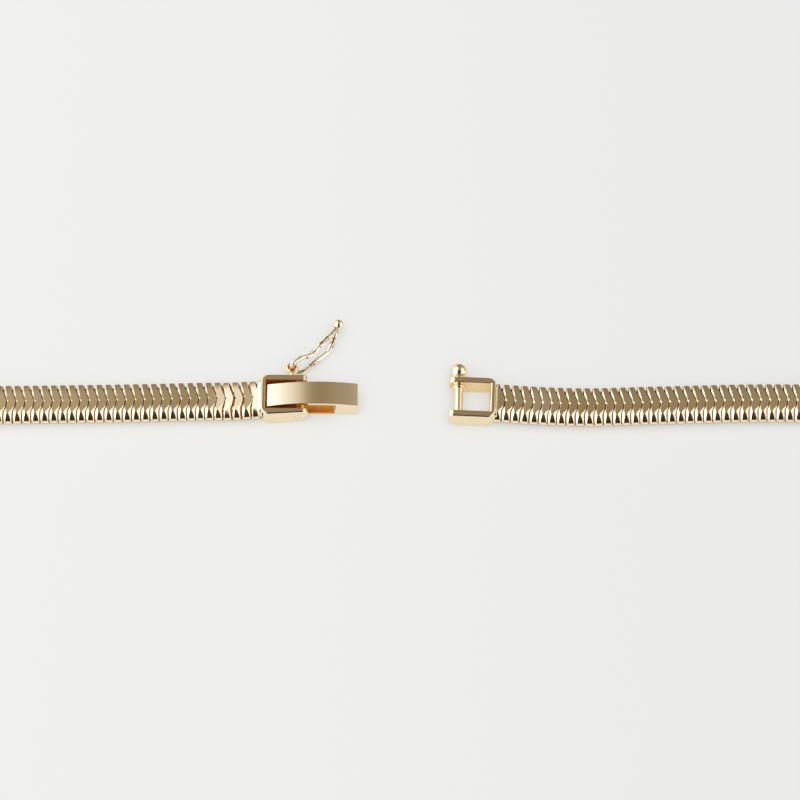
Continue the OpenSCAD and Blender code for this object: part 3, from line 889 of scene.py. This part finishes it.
def stations():
    """Goes round the section and gives each station's place, outward way and sizes."""
    around = [TOP] + FAR + [BOTTOM] + [(-y, *rest) for y, *rest in NEAR[::-1]]
    places = [Vector((0, station[0], station[1])) for station in around]
    found = []
    for i, station in enumerate(around):
        chord = places[(i + 1) % len(places)] - places[i - 1]
        out = Vector((0, -chord.z, chord.y)).normalized()
        found.append((places[i], out, station[2:6], station[6]))
    return found


def plate_mesh():
    """One cupped plate, bowed towards plus X, its section across Y and Z."""
    work = bmesh.new()
    rings = []
    for place, out, (left, right, wide_left, wide_right), _ in stations():
        profile = [(left, wide_left * SLOPE_LEFT + EDGE_DEEP), (left + wide_left, 0.0),
                   (right - wide_right, 0.0), (right, wide_right * SLOPE_RIGHT + EDGE_DEEP)]
        rings.append([work.verts.new(place + Vector((x, 0, 0)) - out * deep)
                      for x, deep in profile])
    skin(work, rings + rings[:1], capped=False, smooth=True)
    for ring, after in zip(rings, rings[1:] + rings[:1]):
        for pair in zip(ring, after):
            work.edges.get(pair).smooth = False
    rim = rings[1 + [station[1] for station in FAR].index(RIM_Z)]
    for pair in zip(rim, rim[1:] + rim[:1]):
        work.edges.get(pair).smooth = False
    return to_object("plate", work)


plate = plate_mesh()
print("one plate has", len(plate.data.polygons), "faces")

# %% [markdown]
# ## Rows of plates
# A Geometry Nodes tree lays the plates along the line: the line is cut back a little at each
# end, divided by the pitch, and a plate stands at each point, turned with the line and tipped.
# An array along a curve would bend each plate and stretch the last one. A little random
# turn, from a fixed seed, gives each plate its own glint, as the loose ones on the real
# chain have.

# %% Tree that lays the plates
def plate_tree():
    """Lays a plate at every pitch along a line and turns it by its tip and a random sway."""
    tree = bpy.data.node_groups.new("laid_plates", "GeometryNodeTree")
    open_sockets(tree, "INPUT", ("Line", "Geometry"), ("Plate", "Object"), ("Pitch", "Float"),
                 ("Start gap", "Float"), ("End gap", "Float"), ("Bow", "Float"),
                 ("Sway", "Float"), ("Seed", "Int"), ("Finish", "Material"))
    open_sockets(tree, "OUTPUT", ("Chain", "Geometry"))
    given = tree.nodes.new("NodeGroupInput").outputs
    result = tree.nodes.new("NodeGroupOutput").inputs
    curve = add(tree, "GeometryNodeMeshToCurve", Mesh=given["Line"]).outputs[0]
    length = add(tree, "GeometryNodeCurveLength", Curve=curve).outputs[0]
    trim = add(tree, "GeometryNodeTrimCurve", mode="LENGTH", Curve=curve)
    ends = {socket.name: socket for socket in trim.inputs if socket.enabled}
    feed(tree, ends["Start"], given["Start gap"])
    feed(tree, ends["End"], maths(tree, "SUBTRACT", length, given["End gap"]))
    even = add(tree, "GeometryNodeResampleCurve", mode="LENGTH", Curve=trim.outputs[0],
               Length=given["Pitch"])
    tangent = add(tree, "GeometryNodeInputTangent").outputs[0]
    face = add(tree, "FunctionNodeAxesToRotation", primary_axis="X", secondary_axis="Z",
               Primary_Axis=scaled(tree, tangent, given["Bow"]), Secondary_Axis=(0, 0, 1))
    tip = add(tree, "GeometryNodeInputNamedAttribute", data_type="FLOAT", Name="tip")
    chance = add(tree, "FunctionNodeRandomValue", data_type="FLOAT_VECTOR",
                 Min=maths(tree, "MULTIPLY", given["Sway"], -1.0), Max=given["Sway"],
                 Seed=given["Seed"])
    tipped = add(tree, "ShaderNodeCombineXYZ", Y=tip.outputs["Attribute"])
    lean = add(tree, "ShaderNodeVectorMath", operation="ADD", Vector=tipped.outputs[0])
    feed(tree, lean.inputs[1], chance.outputs[0])
    sway = add(tree, "FunctionNodeEulerToRotation", Euler=lean.outputs[0])
    both = add(tree, "FunctionNodeRotateRotation", rotation_space="LOCAL",
               Rotation=face.outputs[0], Rotate_By=sway.outputs[0])
    info = add(tree, "GeometryNodeObjectInfo", Object=given["Plate"])
    lay = add(tree, "GeometryNodeInstanceOnPoints", Points=even.outputs[0],
              Instance=info.outputs["Geometry"], Rotation=both.outputs[0])
    real = add(tree, "GeometryNodeRealizeInstances", Geometry=lay.outputs[0])
    finish = add(tree, "GeometryNodeSetMaterial", Geometry=real.outputs[0],
                 Material=given["Finish"])
    feed(tree, result[0], finish.outputs[0])
    print("tree of", len(tree.nodes), "nodes")
    return tree


plates = plate_tree()

# %% Lay the two rows
PITCH, SWAY = 1.13, 0.005
# Distance along the row, and the tip there in radians, positive where plates lean right
LEFT_TIPS = [(0.3, -0.17), (0.8, -0.04), (1.5, -0.02), (2.3, -0.09), (3.4, -0.15),
             (4.5, -0.09), (5.6, -0.03), (6.8, -0.01), (8.0, 0.0)]
RIGHT_TIPS = [(2.5, 0.0), (3.8, 0.07), (5.0, 0.10), (6.4, 0.06), (8.0, 0.0)]


def tip_at(tips, reach):
    """The tip at a distance along the row."""
    if reach <= tips[0][0]:
        return tips[0][1]
    for (x0, tip0), (x1, tip1) in zip(tips, tips[1:]):
        if reach <= x1:
            return tip0 + (tip1 - tip0) * (reach - x0) / (x1 - x0)
    return 0.0


def lay_plates(name, line, part, tips, bow, start_gap, seed):
    """Runs the tree on a line of points, and makes the row of plates one plain mesh."""
    mesh = bpy.data.meshes.new(name)
    mesh.from_pydata(line, [(i, i + 1) for i in range(len(line) - 1)], [])
    leans = mesh.attributes.new("tip", "FLOAT", "POINT")
    reach = 0.0
    for i, place in enumerate(line):
        reach += (place - line[max(i - 1, 0)]).length
        leans.data[i].value = tip_at(tips, reach)
    row = bpy.data.objects.new(name, mesh)
    scene.collection.objects.link(row)
    step = row.modifiers.new("plates", "NODES")
    step.node_group = plates
    values = {"Plate": plate, "Pitch": PITCH, "Start gap": start_gap, "End gap": PITCH / 2,
              "Bow": bow, "Sway": SWAY, "Seed": seed, "Finish": link_gold}
    for socket in plates.interface.items_tree:
        if socket.name in values:
            step[socket.identifier] = values[socket.name]
    settled(row)
    print(name, len(row.data.polygons) // len(plate.data.polygons), "plates")
    to_model(row, Matrix.Identity(4), "necklace", "chain_gold", link_gold, part)


lay_plates("plates_left", left_line, "chain_left", LEFT_TIPS, -1.0, 0.0, 7)
lay_plates("plates_right", right_line, "chain_right", RIGHT_TIPS, 1.0, 0.02, 11)
bpy.data.objects.remove(plate)

# %% [markdown]
# ## Inside of the chain
# Between the plates one sees the folds by which they hang together, in the shade of the gaps. They
# are too small to tell apart, so one band of the chain's own oval fills the inside and closes the
# gaps, in a dull, deep-coloured gold that is painted shade.

# %% Core
CORE_STEP = 4  # the core takes every fourth point of the line


def core_piece(name, line, part, way):
    """The band inside one row of plates. The way is 1 if the row runs to the right in front."""
    section = [(way * (place - out * deep).y, (place - out * deep).z)
               for place, out, _, deep in stations()]
    work = bmesh.new()
    sweep(work, line[:-1:CORE_STEP] + line[-1:], section, up=Vector((0, 0, 1)))
    to_model(to_object(name, work), Matrix.Identity(4), "necklace", "chain_gold", core_shade_gold, part)


core_piece("folds_left", left_line, "chain_left", -1)
core_piece("folds_right", right_line, "chain_right", 1)
